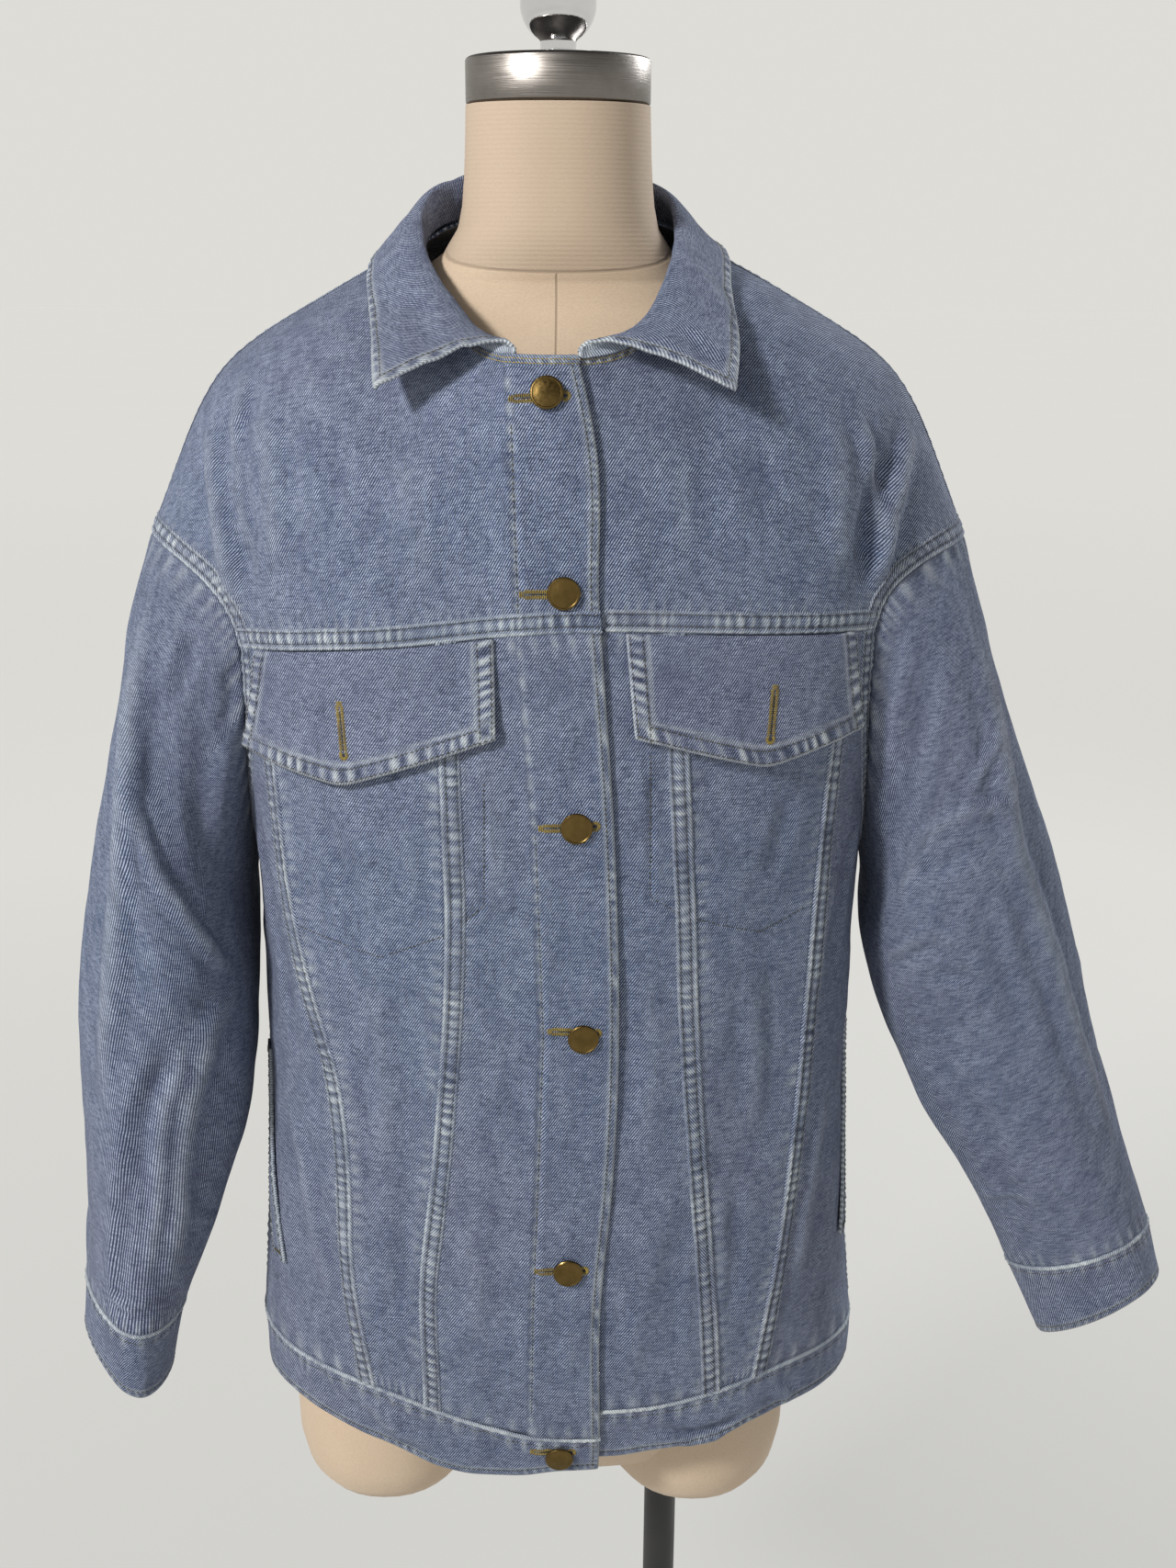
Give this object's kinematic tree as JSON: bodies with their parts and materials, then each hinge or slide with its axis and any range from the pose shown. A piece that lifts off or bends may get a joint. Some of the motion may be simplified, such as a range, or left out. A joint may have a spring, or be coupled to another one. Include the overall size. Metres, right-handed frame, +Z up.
{
  "type": "denim jacket on a dress form",
  "caption": "Buttoned denim jacket with collar, chest flaps and hem band, worn by a limbless dress form on a pole with a round base.",
  "frame": {"origin": "middle of the base's underside, on the floor, under the form's axis", "axes": "+Z up, the jacket's front faces -Y, the wearer's left is +X"},
  "size_m": [0.6988, 0.34, 1.5323],
  "materials": {
    "denim": "washed grey-blue twill",
    "denim_trim": "washed grey-blue twill, double layers",
    "antique_brass": "dull antique",
    "form_cloth": "matte cream jersey",
    "brushed_steel": "brushed",
    "chrome": "polished",
    "black_paint": "satin black"
  },
  "bodies": {
    "root": {"back_centre": "denim", "back_side_left": "denim_trim", "back_side_right": "denim_trim", "back_yoke": "denim", "button_1": "antique_brass", "button_2": "antique_brass", "button_3": "antique_brass", "button_4": "antique_brass", "button_5": "antique_brass", "button_6": "antique_brass", "collar": "denim_trim", "cuff_left": "denim_trim", "cuff_right": "denim_trim", "flap_left": "denim_trim", "flap_right": "denim_trim", "form_base": "black_paint", "form_knob": "chrome", "form_neck_cap": "brushed_steel", "form_pole": "black_paint", "form_torso": "form_cloth", "front_centre_left": "denim", "front_centre_right": "denim", "front_mid_left": "denim", "front_mid_right": "denim", "front_side_left": "denim_trim", "front_side_right": "denim_trim", "front_yoke_left": "denim", "front_yoke_right": "denim", "hem_band": "denim_trim", "sleeve_left": "denim", "sleeve_right": "denim", "welt_left": "denim", "welt_right": "denim"}
  },
  "joints": []
}
